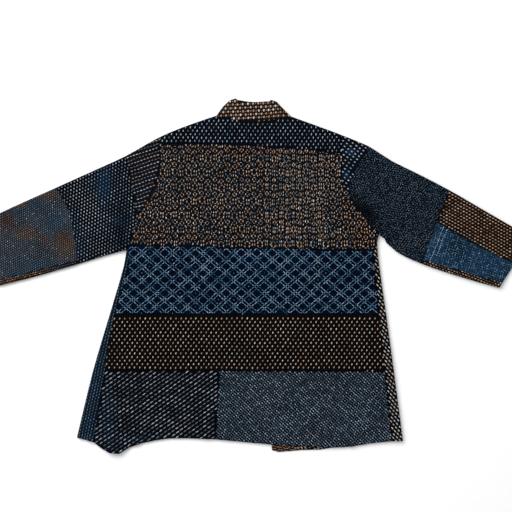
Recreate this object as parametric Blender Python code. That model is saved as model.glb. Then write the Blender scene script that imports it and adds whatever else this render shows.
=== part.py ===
"""A patchwork sashiko jacket laid flat with its back up, cut as separate cloth pieces.

Every table is in millimetres on the table top: x runs across the back, y runs up from the hem
line to the collar, and z runs up from the surface. The fronts and the front halves of the
sleeves and the collar lie on the surface. The back lies on them, and the cloth turns round at
the folded edges. The finished jacket is centred over the origin.
"""

import math

import bmesh
import bpy
from mathutils import Vector

MM = 0.001
CLOTH = 2.4          # thickness of the stitched cloth, which is two layers quilted together
SEAM_GAP = 0.4       # clear width of each seam
LAYER_GAP = 0.4      # air between the back and the fronts where they lie on each other
FOLD_GAP = 3.6       # air inside a folded edge
FOLD_REACH = 38.0    # how far in from a folded edge the back still rises
FOLD_STEPS = 4       # steps of the half turn at a folded edge
FOLD_RADIUS = CLOTH + FOLD_GAP / 2
STRIP_STEPS = 2      # columns of the side strips that wrap on to the back
RIM_ANGLE = math.radians(50)

# Folded outlines: x, y, and the number of steps from the row above.
# The rows of both top edges start at the neck and end at the cuff.
TOP_LEFT = ((-84, 720, 0), (-143, 700, 2), (-209, 673, 3), (-284, 631, 3),
            (-350, 601, 3), (-436, 562, 3), (-530, 520, 4), (-625, 475, 4))
TOP_RIGHT = ((79, 718, 0), (135, 698, 2), (191, 677, 2), (250, 652, 3),
             (301, 620, 2), (354, 594, 2), (427, 556, 2), (513, 506, 4), (605, 453, 4))
# Rows of the outlines where a seam meets them.
YOKE_END, ARMHOLE_ROW = 2, 3
ELBOW_ROW = {"top": {"left": 5, "right": 6}, "under": {"left": 2, "right": 3}}
# The under edges of the sleeves run from the armpit to the cuff.
UNDER_LEFT = ((-282, 425, 0), (-330, 412, 3), (-387, 394, 3), (-480, 367, 4), (-565, 345, 4))
UNDER_RIGHT = ((277, 477, 0), (288, 441, 2), (312, 420, 1), (365, 395, 3),
               (450, 366, 4), (537, 341, 4))
# The sides run from the hem to the armpit, with rows at the seams of the back.
SIDE_LEFT = ((-391, 13, 0), (-355, 161, 6), (-319, 283, 4), (-288, 389, 3), (-282, 425, 2))
SIDE_RIGHT = ((325, 6, 0), (305, 158, 6), (288, 283, 4), (273, 389, 3), (269, 424, 2),
              (268, 442, 1), (277, 477, 2))
COLLAR_LEFT = ((-84, 720, 0), (-69, 741, 2), (-55, 754, 1), (-41, 758, 1))
COLLAR_RIGHT = ((79, 718, 0), (56, 741, 2), (47, 751, 1), (34, 755, 1))

# Seams: x, y, steps. Ends that lie on a folded edge are added where the seam is cut.
ARMHOLE = {"left": ((-266, 470, 2), (-262, 506, 3), (-266, 545, 3)),
           "right": ((250, 498, 1), (230, 511, 1), (216, 529, 1), (206, 556, 2), (217, 592, 3))}
ARMHOLE_END_STEPS = {"left": 5, "right": 3}
PATCH_TIP = 6        # point of each armhole where its shoulder patch begins
STRIP_TOP = 5.0      # width that a side strip still has at the armpit
YOKE_ROWS = 2
PATCH_COLUMNS = 3
YOKE_SEAM = ((-209, 657, 0), (-11, 655, 9), (191, 637, 10))
PATCH_EDGE_LEFT = ((-253, 508, 0), (-231, 540, 2), (-215, 579, 2), (-209, 612, 1), (-209, 657, 2))
PATCH_EDGE_RIGHT = ((197, 560, 0), (191, 573, 1), (191, 637, 3))
# Points of the side seams where the cross seams of the back meet them.
LOWER_TOP, DOTS_TOP, LATTICE_TOP = 6, 10, 15
SIDE_SEAM_LEFT = ((-354, 3, 0), (-330, 161, 6), (-308, 283, 4), (-279, 389, 3))
SIDE_SEAM_RIGHT = ((301, 5, 0), (285, 158, 6), (273, 283, 4), (260, 424, 5))
LOWER_SEAM = ((-86, 9, 0), (-78, 160, 6))
BACK_COLUMNS = 19    # columns of the main panel and of the two bands
LOWER_COLUMNS = {"left": 10, "right": 13}
ELBOW_LEFT = (-407, 508)
# The seam between the two back patches of the right lower sleeve, and the columns below it.
PATCH_DIVIDE = ((400, 486, 0), (506, 425, 4), (571, 396, 4))
DIVIDE_COLUMN = 7
SLEEVE_COLUMNS = {"left": 14, "right": 12}
ELBOW_STRIP = 4.0    # width of the front cloth that shows past the fold at the elbow seam
CUFF_STRIP = {"left": 7.0, "right": 9.0}

# Hems: x, y, steps.
HEM_BACK_LEFT = ((-354, 3, 0), (-337, -11, 1), (-318, -20, 1), (-297, -22, 1), (-276, -9, 1),
                 (-250, 0, 1), (-187, 11, 2), (-86, 9, 3))
HEM_BACK_RIGHT = ((-86, 9, 0), (-33, 4, 2), (33, -2, 2), (99, -5, 2), (165, -9, 2),
                  (209, -7, 2), (253, 0, 1), (301, 5, 2))
HEM_FRONT_LEFT = ((-86, 15, 4), (-187, 17, 3), (-290, 4, 3))
HEM_FRONT_RIGHT = ((52, -19, 1), (99, -15, 2), (143, -14, 1), (187, -7, 2),
                   (253, 2, 3))
HEM_END_STEPS = 2    # steps of a front's hem to its folded side
FRONT_EDGE_TOP = (0, 672)
FRONT_EDGE_FOOT = (37, -15)
HEM_RISE = {"left": 21, "right": 0}     # how much higher each front starts at the centre

NECK_BACK = (-4, 707)
NECK_FRONT = {"left": (-42, 681), "right": (38, 681)}
COLLAR_TOP_MIDDLE = (-8, 750)
COLLAR_FRONT_TOP = {"middle": (0, 714), "left": (-30, 728), "right": (24, 727)}

# Soft ridges where the back does not lie flat.
# Columns: start x, start y, end x, end y, half width, height at the start, height at the end.
RIDGES = (
    (212, 548, 262, 476, 16, 2.0, 5.0),
    (-264, 500, -232, 452, 18, 3.0, 1.0),
    (-306, -22, -300, 120, 27, 8.0, 0.0),
    (-352, 0, -340, 80, 15, 2.5, 0.0),
    (246, 640, 226, 596, 14, 3.0, 1.0),
    (-306, 446, -362, 528, 24, 3.5, 1.0),
    (300, 470, 356, 522, 22, 3.5, 1.0),
    (120, -8, 112, 130, 26, 3.0, 0.0),
)

COLOURS = {
    "collar": (0.050, 0.032, 0.022),
    "back_yoke": (0.016, 0.020, 0.032),
    "back_main": (0.034, 0.032, 0.034),
    "shoulder_patch_left": (0.045, 0.052, 0.060),
    "shoulder_patch_right": (0.020, 0.032, 0.055),
    "band_lattice": (0.022, 0.060, 0.110),
    "band_dots": (0.020, 0.015, 0.013),
    "back_lower_left": (0.030, 0.034, 0.042),
    "back_lower_right": (0.040, 0.056, 0.080),
    "front_left": (0.026, 0.034, 0.046),
    "front_right": (0.018, 0.017, 0.018),
    "sleeve_left_upper": (0.014, 0.024, 0.044),
    "sleeve_left_lower": (0.050, 0.050, 0.060),
    "sleeve_left_lower_front": (0.030, 0.024, 0.022),
    "sleeve_right_upper": (0.018, 0.026, 0.038),
    "sleeve_right_lower_outer": (0.060, 0.036, 0.022),
    "sleeve_right_lower_inner": (0.030, 0.058, 0.095),
    "sleeve_right_lower_front": (0.022, 0.018, 0.017),
}


def smooth_run(rows):
    """Sample a smooth curve through rows of x, y, steps, and say where each row lies in it."""
    points = [Vector((x, y)) for x, y, _ in rows]
    last = len(points) - 1
    leans = []
    for index in range(last + 1):
        before, after = points[max(index - 1, 0)], points[min(index + 1, last)]
        here = points[index]
        leans.append((after - before) / ((after - here).length + (here - before).length))
    run, marks = [points[0]], [0]
    for row in range(1, last + 1):
        start, end, steps = points[row - 1], points[row], rows[row][2]
        length = (end - start).length
        for step in range(1, steps + 1):
            t = step / steps
            run.append((2 * t ** 3 - 3 * t ** 2 + 1) * start + (3 * t ** 2 - 2 * t ** 3) * end
                       + (t ** 3 - 2 * t ** 2 + t) * length * leans[row - 1]
                       + (t ** 3 - t ** 2) * length * leans[row])
        marks.append(len(run) - 1)
    return run, marks


def seam(*rows):
    """Sample the smooth curve through the rows."""
    return smooth_run(rows)[0]


def at(point, steps):
    """Make a table row of a point and the steps that lead to it."""
    return (point[0], point[1], steps)


def joined(*runs):
    """Chain runs of points, each of which starts where the one before it ends."""
    chain = list(runs[0])
    for run in runs[1:]:
        chain.extend(run[1:])
    return chain


def towards(start, end, distance):
    """Return the point that lies a distance from start on the way to end."""
    return start + (Vector(end[:2]) - start).normalized() * distance


def spread(bottom, top, left, right):
    """Fill four boundary runs with rows of points, from the bottom run to the top run."""
    columns, rows = len(bottom) - 1, len(left) - 1
    grid = []
    for row in range(rows + 1):
        v = row / rows
        line = []
        for column in range(columns + 1):
            u = column / columns
            line.append((1 - v) * bottom[column] + v * top[column]
                        + (1 - u) * left[row] + u * right[row]
                        - (1 - u) * (1 - v) * bottom[0] - u * (1 - v) * bottom[-1]
                        - (1 - u) * v * top[0] - u * v * top[-1])
        grid.append(line)
    return grid


def distance_to_segment(point, start, end):
    """Return the distance from a point to a segment and how far along it the foot lies."""
    step = end - start
    along = max(0.0, min(1.0, (point - start).dot(step) / step.length_squared))
    return (point - start - step * along).length, along


class FoldedEdge:
    """A line along which the cloth turns under, with the outward direction at each point."""

    def __init__(self, rows, outside):
        outline, self.marks = smooth_run(rows)
        last = len(outline) - 1
        self.base, self.side, self.outline = [], [], outline
        for index, point in enumerate(outline):
            ahead = outline[min(index + 1, last)] - outline[max(index - 1, 0)]
            outward = Vector((ahead.y, -ahead.x)).normalized() * outside
            self.base.append(point - outward * FOLD_RADIUS)
            self.side.append(outward)

    def at_row(self, row):
        """Return the point of the fold line at a row of the table."""
        return self.base[self.marks[row]]

    def along(self, end):
        """Return the direction that leads away from one end of the edge."""
        inner = 1 if end == 0 else -2
        return (self.outline[inner] - self.outline[end]).normalized()


def mitre(first, first_end, second, second_end):
    """Bring two folded edges together in the inner corner where they meet."""
    first_along, second_along = first.along(first_end), second.along(second_end)
    reach = 1 / math.tan(first_along.angle(second_along) / 2)
    corner = first.outline[first_end]
    first.side[first_end] = first.side[first_end] + first_along * reach
    second.side[second_end] = second.side[second_end] + second_along * reach
    first.base[first_end] = corner - first.side[first_end] * FOLD_RADIUS
    second.base[second_end] = first.base[first_end].copy()


class Pattern:
    """The cut of the jacket: its folded edges, its seams and the height of its upper layer."""

    def __init__(self):
        self.top = {"left": FoldedEdge(TOP_LEFT, 1), "right": FoldedEdge(TOP_RIGHT, -1)}
        self.under = {"left": FoldedEdge(UNDER_LEFT, -1), "right": FoldedEdge(UNDER_RIGHT, 1)}
        self.flank = {"left": FoldedEdge(SIDE_LEFT, -1), "right": FoldedEdge(SIDE_RIGHT, 1)}
        self.collar = {"left": FoldedEdge(COLLAR_LEFT, -1), "right": FoldedEdge(COLLAR_RIGHT, 1)}
        for hand in ("left", "right"):
            mitre(self.flank[hand], -1, self.under[hand], 0)
            mitre(self.top[hand], 0, self.collar[hand], 0)
        self.fold_lines = []
        for family in (self.top, self.under, self.flank, self.collar):
            for edge in family.values():
                self.fold_lines.extend(zip(edge.base, edge.base[1:]))
        self.cut_seams()

    def cut_seams(self):
        """Sample each seam once, so that the pieces on its two sides share its points."""
        self.armhole, self.side_seam, self.elbow, self.cuff = {}, {}, {}, {}
        for hand, rows in ARMHOLE.items():
            armpit = self.flank[hand].base[-1]
            shoulder = self.top[hand].at_row(ARMHOLE_ROW)
            strip = towards(armpit, rows[0], STRIP_TOP)
            self.armhole[hand] = seam(at(armpit, 0), at(strip, 1), *rows,
                                      at(shoulder, ARMHOLE_END_STEPS[hand]))
        self.side_seam["left"] = seam(*SIDE_SEAM_LEFT, at(self.armhole["left"][1], 2))
        self.side_seam["right"] = seam(*SIDE_SEAM_RIGHT, at(self.armhole["right"][1], 3))
        for hand, middle in (("left", ELBOW_LEFT), ("right", PATCH_DIVIDE[0])):
            low = self.under[hand].at_row(ELBOW_ROW["under"][hand])
            high = self.top[hand].at_row(ELBOW_ROW["top"][hand])
            rest = SLEEVE_COLUMNS[hand] - DIVIDE_COLUMN
            self.elbow[hand] = seam(at(low, 0), at(towards(low, middle, ELBOW_STRIP), 1),
                                    at(middle, DIVIDE_COLUMN - 1), at(high, rest))
        low, high = self.under["left"].base[-1], self.top["left"].base[-1]
        self.cuff["left"] = seam(at(low, 0), at(towards(low, high, CUFF_STRIP["left"]), 1),
                                 at(high, SLEEVE_COLUMNS["left"] - 1))
        low, high = self.under["right"].base[-1], self.top["right"].base[-1]
        self.cuff["right"] = seam(at(low, 0), at(towards(low, high, CUFF_STRIP["right"]), 1),
                                  at(PATCH_DIVIDE[-1], DIVIDE_COLUMN - 1),
                                  at(high, SLEEVE_COLUMNS["right"] - DIVIDE_COLUMN))
        self.neck_back = seam(at(self.top["left"].base[0], 0), at(NECK_BACK, 5),
                              at(self.top["right"].base[0], 5))
        self.neck_front = {
            hand: seam(at(FRONT_EDGE_TOP, 0), at(NECK_FRONT[hand], 2),
                       at(self.top[hand].base[0], 2)) for hand in ("left", "right")}
        self.yoke_seam = seam(*YOKE_SEAM)
        self.main_seam = self.straight_seam(LATTICE_TOP)
        self.band_seam = self.straight_seam(DOTS_TOP)
        self.lower_seam = self.straight_seam(LOWER_TOP)

    def straight_seam(self, index):
        """Return the straight cross seam between two points of the side seams."""
        return seam(at(self.side_seam["left"][index], 0),
                    at(self.side_seam["right"][index], BACK_COLUMNS))

    def lower_half_seam(self, hand):
        """Return one half of the seam over the two lower panels, from left to right."""
        middle, columns = LOWER_SEAM[-1], LOWER_COLUMNS[hand]
        if hand == "left":
            return seam(at(self.side_seam["left"][LOWER_TOP], 0), at(middle, columns))
        return seam(at(middle, 0), at(self.side_seam["right"][LOWER_TOP], columns))

    def upper_height(self, point):
        """Height of the middle of the upper layer over a point of the table top."""
        nearest = min(distance_to_segment(point, *line)[0] for line in self.fold_lines)
        t = min(nearest / FOLD_REACH, 1.0)
        rise = 1 - t * t * (3 - 2 * t)
        height = 1.5 * CLOTH + LAYER_GAP + (FOLD_GAP - LAYER_GAP) * rise
        for x0, y0, x1, y1, half_width, start_height, end_height in RIDGES:
            away, along = distance_to_segment(point, Vector((x0, y0)), Vector((x1, y1)))
            if away < half_width:
                crest = start_height + (end_height - start_height) * along
                height += crest * (1 - (away / half_width) ** 2) ** 2
        return height

    def upper(self, point):
        """Return a point of the upper layer and the direction out of the cloth there."""
        return Vector((point.x, point.y, self.upper_height(point))), Vector((0, 0, 1))

    def lower(self, point):
        """Return a point of the lower layer and the direction out of the cloth there."""
        return Vector((point.x, point.y, CLOTH / 2)), Vector((0, 0, -1))

    def turn(self, edge, index):
        """Return the half turn of cloth at a folded edge, from the upper to the lower layer."""
        base, side = edge.base[index], edge.side[index]
        radius = (self.upper_height(base) - CLOTH / 2) / 2
        half_turn = []
        for step in range(FOLD_STEPS + 1):
            angle = math.pi * step / FOLD_STEPS
            reach = side * math.sin(angle)
            centre = Vector((base.x, base.y, CLOTH / 2 + radius))
            out = Vector((reach.x, reach.y, math.cos(angle)))
            half_turn.append((centre + out * radius, out))
        return half_turn


def cell_corners(row, column, columns):
    """Return the four corners of a cell, which may close round to the first column."""
    after = (column + 1) % columns
    return ((row, column), (row, after), (row + 1, after), (row + 1, column))


def seam_shift(position, centres):
    """Return the move that takes a boundary point half a seam's width into its own piece."""
    inward = sum(centres, Vector((0, 0, 0))) / len(centres) - position
    depth = SEAM_GAP / 2 * (math.sqrt(2) if len(centres) != 2 else 1)
    return inward.normalized() * depth


def cloth_wall(name, grid, parent, closed=False, missing=lambda row, column: False):
    """Give a grid of points and outward directions the thickness of the cloth.

    Cells for which missing(row, column) is true are left out of the piece.
    """
    rows, columns = len(grid), len(grid[0])
    last_column = columns if closed else columns - 1
    cells = [cell_corners(row, column, columns)
             for row in range(rows - 1) for column in range(last_column)
             if not missing(row, column)]
    around = {}
    for cell in cells:
        centre = sum((grid[row][column][0] for row, column in cell), Vector((0, 0, 0))) / 4
        for corner in cell:
            around.setdefault(corner, []).append(centre)
    mesh = bmesh.new()
    outer, inner = {}, {}
    for (row, column), centres in around.items():
        position, out = grid[row][column]
        if len(centres) < 4:
            position = position + seam_shift(position, centres)
        outer[row, column] = mesh.verts.new((position + out * CLOTH / 2) * MM)
        inner[row, column] = mesh.verts.new((position - out * CLOTH / 2) * MM)
    edges = {(cell[k], cell[(k + 1) % 4]) for cell in cells for k in range(4)}
    for cell in cells:
        mesh.faces.new([outer[corner] for corner in cell])
        mesh.faces.new([inner[corner] for corner in reversed(cell)])
    for start, end in sorted(edges):
        if (end, start) not in edges:
            mesh.faces.new([outer[end], outer[start], inner[start], inner[end]])
    bmesh.ops.recalc_face_normals(mesh, faces=mesh.faces)
    data = bpy.data.meshes.new(name)
    mesh.to_mesh(data)
    mesh.free()
    data.shade_smooth()
    data.set_sharp_from_angle(angle=RIM_ANGLE)
    piece = bpy.data.objects.new(name, data)
    bpy.context.scene.collection.objects.link(piece)
    piece.parent = parent
    data.materials.append(dyed_cloth(name))
    return piece


def dyed_cloth(name):
    """Make the matt cotton of one piece."""
    material = bpy.data.materials.new(name + "_cotton")
    material.use_nodes = True
    shader = material.node_tree.nodes["Principled BSDF"]
    shader.inputs["Base Color"].default_value = (*COLOURS[name], 1)
    shader.inputs["Roughness"].default_value = 0.9
    shader.inputs["Metallic"].default_value = 0.0
    return material


def back_panels(pattern, parent):
    """Cut the flat pieces of the back below the yoke."""
    armhole, side = pattern.armhole, pattern.side_seam
    low_armhole = {hand: armhole[hand][1:PATCH_TIP + 1] for hand in armhole}
    tip_left = seam(at(low_armhole["left"][-1], 0), at(PATCH_EDGE_LEFT[0], 1))
    tip_right = seam(at(low_armhole["right"][-1], 0), at(PATCH_EDGE_RIGHT[0], 1))
    main_left = joined(low_armhole["left"], tip_left, seam(*PATCH_EDGE_LEFT))
    main_right = joined(side["right"][LATTICE_TOP:], low_armhole["right"], tip_right,
                        seam(*PATCH_EDGE_RIGHT))
    middle_seam = seam(*LOWER_SEAM)
    panels = {
        "back_main": (pattern.main_seam, pattern.yoke_seam, main_left, main_right),
        "band_lattice": (pattern.band_seam, pattern.main_seam,
                         side["left"][DOTS_TOP:], side["right"][DOTS_TOP:LATTICE_TOP + 1]),
        "band_dots": (pattern.lower_seam, pattern.band_seam,
                      side["left"][LOWER_TOP:DOTS_TOP + 1], side["right"][LOWER_TOP:DOTS_TOP + 1]),
        "back_lower_left": (seam(*HEM_BACK_LEFT), pattern.lower_half_seam("left"),
                            side["left"][:LOWER_TOP + 1], middle_seam),
        "back_lower_right": (seam(*HEM_BACK_RIGHT), pattern.lower_half_seam("right"),
                             middle_seam, side["right"][:LOWER_TOP + 1]),
    }
    for name, runs in panels.items():
        grid = [[pattern.upper(point) for point in line] for line in spread(*runs)]
        cloth_wall(name, grid, parent)


def wrapped_rows(pattern, flat, edge_points):
    """Add to flat rows of the upper layer the rows that turn under at the top edge."""
    grid = [[pattern.upper(point) for point in line] for line in flat[:-1]]
    turns = [pattern.turn(*place) if place else None for place in edge_points]
    for step in range(FOLD_STEPS + 1):
        grid.append([turn[step] if turn else pattern.upper(point)
                     for turn, point in zip(turns, flat[-1])])
    return grid


def shoulder_pieces(pattern, parent):
    """Cut the yoke and the two shoulder patches, which turn under at the shoulders."""
    top = pattern.top
    yoke_left, yoke_right = (top[hand].marks[YOKE_END] for hand in ("left", "right"))
    patch_left, patch_right = (top[hand].marks[ARMHOLE_ROW] for hand in ("left", "right"))

    neck_columns = range(yoke_left, yoke_left + len(pattern.neck_back) - 1)
    top_run = joined(top["left"].base[yoke_left::-1], pattern.neck_back,
                     top["right"].base[:yoke_right + 1])
    flat = spread(pattern.yoke_seam, top_run,
                  seam(at(pattern.yoke_seam[0], 0), at(top_run[0], YOKE_ROWS)),
                  seam(at(pattern.yoke_seam[-1], 0), at(top_run[-1], YOKE_ROWS)))
    places = ([(top["left"], index) for index in range(yoke_left, -1, -1)]
              + [None] * (len(pattern.neck_back) - 2)
              + [(top["right"], index) for index in range(yoke_right + 1)])
    cloth_wall("back_yoke", wrapped_rows(pattern, flat, places), parent,
               missing=lambda row, column: row >= YOKE_ROWS and column in neck_columns)

    inner_left = joined(seam(*PATCH_EDGE_LEFT),
                        seam(at(PATCH_EDGE_LEFT[-1], 0), at(top["left"].base[yoke_left], 1)))
    outer_left = pattern.armhole["left"][PATCH_TIP:]
    flat = spread(seam(at(outer_left[0], 0), at(inner_left[0], PATCH_COLUMNS)),
                  top["left"].base[patch_left:yoke_left - 1:-1], outer_left, inner_left)
    places = [(top["left"], index) for index in range(patch_left, yoke_left - 1, -1)]
    cloth_wall("shoulder_patch_left", wrapped_rows(pattern, flat, places), parent)

    inner_right = joined(seam(*PATCH_EDGE_RIGHT),
                         seam(at(PATCH_EDGE_RIGHT[-1], 0),
                              at(top["right"].base[yoke_right], YOKE_ROWS)))
    outer_right = pattern.armhole["right"][PATCH_TIP:]
    flat = spread(seam(at(inner_right[0], 0), at(outer_right[0], PATCH_COLUMNS)),
                  top["right"].base[yoke_right:patch_right + 1], inner_right, outer_right)
    places = [(top["right"], index) for index in range(yoke_right, patch_right + 1)]
    cloth_wall("shoulder_patch_right", wrapped_rows(pattern, flat, places), parent)


def front(pattern, parent, hand, hem_rows):
    """Cut one front, whose side turns round on to the back as a tapering strip."""
    flank, seam_line = pattern.flank[hand], pattern.side_seam[hand]
    shoulder_steps = pattern.top[hand].marks[ARMHOLE_ROW]
    side_run = joined(flank.base, pattern.armhole[hand])
    foot = towards(Vector(FRONT_EDGE_FOOT), FRONT_EDGE_TOP, HEM_RISE[hand])
    hem = seam(at(foot, 0), *hem_rows, at(flank.base[0], HEM_END_STEPS))
    neck_and_shoulder = joined(pattern.neck_front[hand],
                               pattern.top[hand].base[:shoulder_steps + 1])
    front_edge = seam(at(hem[0], 0), at(FRONT_EDGE_TOP, len(side_run) - 1))
    flat = spread(hem, neck_and_shoulder, front_edge, side_run)
    armpit_row, fold_column = len(flank.base) - 1, len(hem) - 1
    grid = []
    for row, line in enumerate(flat):
        cells = [pattern.lower(point) for point in line[:-1]]
        if row > armpit_row:
            cells += [pattern.lower(line[-1])] * (FOLD_STEPS + 1 + STRIP_STEPS)
        else:
            cells += pattern.turn(flank, row)[::-1]
            for step in range(1, STRIP_STEPS + 1):
                across = flank.base[row].lerp(seam_line[row], step / STRIP_STEPS)
                cells.append(pattern.upper(across))
        grid.append(cells)
    cloth_wall("front_" + hand, grid, parent,
               missing=lambda row, column: row >= armpit_row and column >= fold_column)


def sleeve_upper(pattern, parent, hand):
    """Cut one upper sleeve as a flattened tube from the armhole to the elbow seam."""
    top, under = pattern.top[hand], pattern.under[hand]
    start, end = top.marks[ARMHOLE_ROW], top.marks[ELBOW_ROW["top"][hand]]
    under_end = under.marks[ELBOW_ROW["under"][hand]]
    flat = spread(under.base[:under_end + 1], top.base[start:end + 1],
                  pattern.armhole[hand], pattern.elbow[hand])
    rings = []
    for station in range(under_end + 1):
        across = [line[station] for line in flat[1:-1]]
        rings.append([pattern.upper(point) for point in across]
                     + pattern.turn(top, start + station)
                     + [pattern.lower(point) for point in reversed(across)]
                     + pattern.turn(under, station)[::-1])
    cloth_wall("sleeve_%s_upper" % hand, rings, parent, closed=True)


def sleeve_lower(pattern, parent, hand, back_patches):
    """Cut one lower sleeve: its front half, which wraps up at the under edge, and its back.

    Each back patch is a name, its first and last step across the sleeve, and its low and high
    run along the sleeve. The last patch turns under at the top edge.
    """
    top, under = pattern.top[hand], pattern.under[hand]
    start = top.marks[ELBOW_ROW["top"][hand]]
    under_start = under.marks[ELBOW_ROW["under"][hand]]
    elbow, cuff = pattern.elbow[hand], pattern.cuff[hand]
    stations = len(top.base) - start
    top_run = top.base[start:]
    strip = seam(at(elbow[1], 0), at(cuff[1], stations - 1))

    flat = spread(under.base[under_start:], top_run, elbow, cuff)
    walls = []
    for station in range(stations):
        walls.append([pattern.lower(line[station]) for line in reversed(flat[1:])]
                     + pattern.turn(under, under_start + station)[::-1]
                     + [pattern.upper(strip[station])])
    cloth_wall("sleeve_%s_lower_front" % hand, walls, parent)

    for name, first, last, low_run, high_run in back_patches:
        at_top = high_run is None
        flat = spread(low_run or strip, top_run if at_top else high_run,
                      elbow[first:last + 1], cuff[first:last + 1])
        walls = []
        for station in range(stations):
            across = [line[station] for line in flat]
            if at_top:
                walls.append([pattern.upper(point) for point in across[:-1]]
                             + pattern.turn(top, start + station))
            else:
                walls.append([pattern.upper(point) for point in across])
        cloth_wall(name, walls, parent)


def collar(pattern, parent):
    """Cut the stand collar, a folded band that is open at the centre front."""
    left, right = pattern.collar["left"], pattern.collar["right"]
    rows = len(left.base)
    top_edge = seam(at(left.base[-1], 0), at(COLLAR_TOP_MIDDLE, 5), at(right.base[-1], 5))
    back = spread(pattern.neck_back, top_edge, left.base, right.base)
    halves = {}
    for hand, edge in (("left", left), ("right", right)):
        middle = COLLAR_FRONT_TOP["middle"]
        upper_edge = seam(at(middle, 0), at(COLLAR_FRONT_TOP[hand], 2), at(edge.base[-1], 2))
        halves[hand] = spread(pattern.neck_front[hand], upper_edge,
                              seam(at(FRONT_EDGE_TOP, 0), at(middle, rows - 1)), edge.base)
    grid = []
    for row in range(rows):
        grid.append([pattern.lower(point) for point in halves["left"][row][:-1]]
                    + pattern.turn(left, row)[::-1]
                    + [pattern.upper(point) for point in back[row][1:-1]]
                    + pattern.turn(right, row)
                    + [pattern.lower(point) for point in halves["right"][row][-2::-1]])
    cloth_wall("collar", grid, parent)


def centre_over_origin(parent):
    """Move the jacket so that the middle of its box stands over the origin."""
    corners = [vertex.co for piece in parent.children for vertex in piece.data.vertices]
    middle = [(min(c[axis] for c in corners) + max(c[axis] for c in corners)) / 2
              for axis in (0, 1)]
    parent.location = (-middle[0], -middle[1], -min(c[2] for c in corners))


def build_jacket():
    """Build each piece of the jacket under one empty."""
    for item in list(bpy.data.objects):
        bpy.data.objects.remove(item, do_unlink=True)
    jacket = bpy.data.objects.new("jacket", None)
    bpy.context.scene.collection.objects.link(jacket)
    pattern = Pattern()
    collar(pattern, jacket)
    shoulder_pieces(pattern, jacket)
    back_panels(pattern, jacket)
    front(pattern, jacket, "left", HEM_FRONT_LEFT)
    front(pattern, jacket, "right", HEM_FRONT_RIGHT)
    sleeve_upper(pattern, jacket, "left")
    sleeve_upper(pattern, jacket, "right")
    sleeve_lower(pattern, jacket, "left",
                 (("sleeve_left_lower", 1, SLEEVE_COLUMNS["left"], None, None),))
    divide = seam(*PATCH_DIVIDE)
    sleeve_lower(pattern, jacket, "right",
                 (("sleeve_right_lower_inner", 1, DIVIDE_COLUMN, None, divide),
                  ("sleeve_right_lower_outer", DIVIDE_COLUMN, SLEEVE_COLUMNS["right"],
                   divide, None)))
    centre_over_origin(jacket)


build_jacket()
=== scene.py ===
"""Looks of a patchwork sashiko jacket that lies flat with its back up.

Each cut piece of the jacket is a cloth shell made on its own solid, with soft creases, puckered
seams and a dyed, woven cotton. The running stitches are threads of real thickness, charted in
rows and small repeats, and laid on the cloth by a Geometry Nodes tree.
"""

from __future__ import annotations

import logging
import math
import random
from dataclasses import dataclass, field
from enum import Enum
from typing import Callable, Iterator, Sequence

import bmesh
import bpy
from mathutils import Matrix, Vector, noise
from mathutils.bvhtree import BVHTree
from mathutils.kdtree import KDTree

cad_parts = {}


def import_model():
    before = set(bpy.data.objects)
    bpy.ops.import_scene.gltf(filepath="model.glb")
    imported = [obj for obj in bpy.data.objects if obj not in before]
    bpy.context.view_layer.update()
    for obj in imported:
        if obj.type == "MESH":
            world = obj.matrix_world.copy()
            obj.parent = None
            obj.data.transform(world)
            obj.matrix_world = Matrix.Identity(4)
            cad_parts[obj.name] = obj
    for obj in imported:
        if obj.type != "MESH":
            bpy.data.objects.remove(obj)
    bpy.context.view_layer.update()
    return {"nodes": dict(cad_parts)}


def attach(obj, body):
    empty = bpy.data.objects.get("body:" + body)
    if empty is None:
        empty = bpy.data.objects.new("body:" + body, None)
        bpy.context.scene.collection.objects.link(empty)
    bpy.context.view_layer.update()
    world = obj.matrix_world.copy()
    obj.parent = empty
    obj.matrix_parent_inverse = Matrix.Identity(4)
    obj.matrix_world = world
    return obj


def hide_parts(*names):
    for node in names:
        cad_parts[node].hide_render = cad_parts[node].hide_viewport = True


LOG = logging.getLogger("sashiko_jacket")
MM = 0.001
BODY = "root"
LAYER_TOP = 2.6 * MM       # everything higher than this belongs to the upper layer of cloth

Colour = tuple[float, float, float]
Stroke = tuple[float, float, float, float]


@dataclass(frozen=True)
class PhotoView:
    """Where the picture's pixels lie on the table top."""

    pixel: float = 2.2 * MM
    origin: tuple[float, float] = (250.4, 275.8)
    centre: tuple[float, float] = (256.0, 256.0)
    width: float = 512.0

    def place(self, column: float, row: float) -> tuple[float, float]:
        """Turn a pixel of the picture into metres on the table top."""
        return ((column - self.origin[0]) * self.pixel, (self.origin[1] - row) * self.pixel)


PHOTO = PhotoView()


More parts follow.
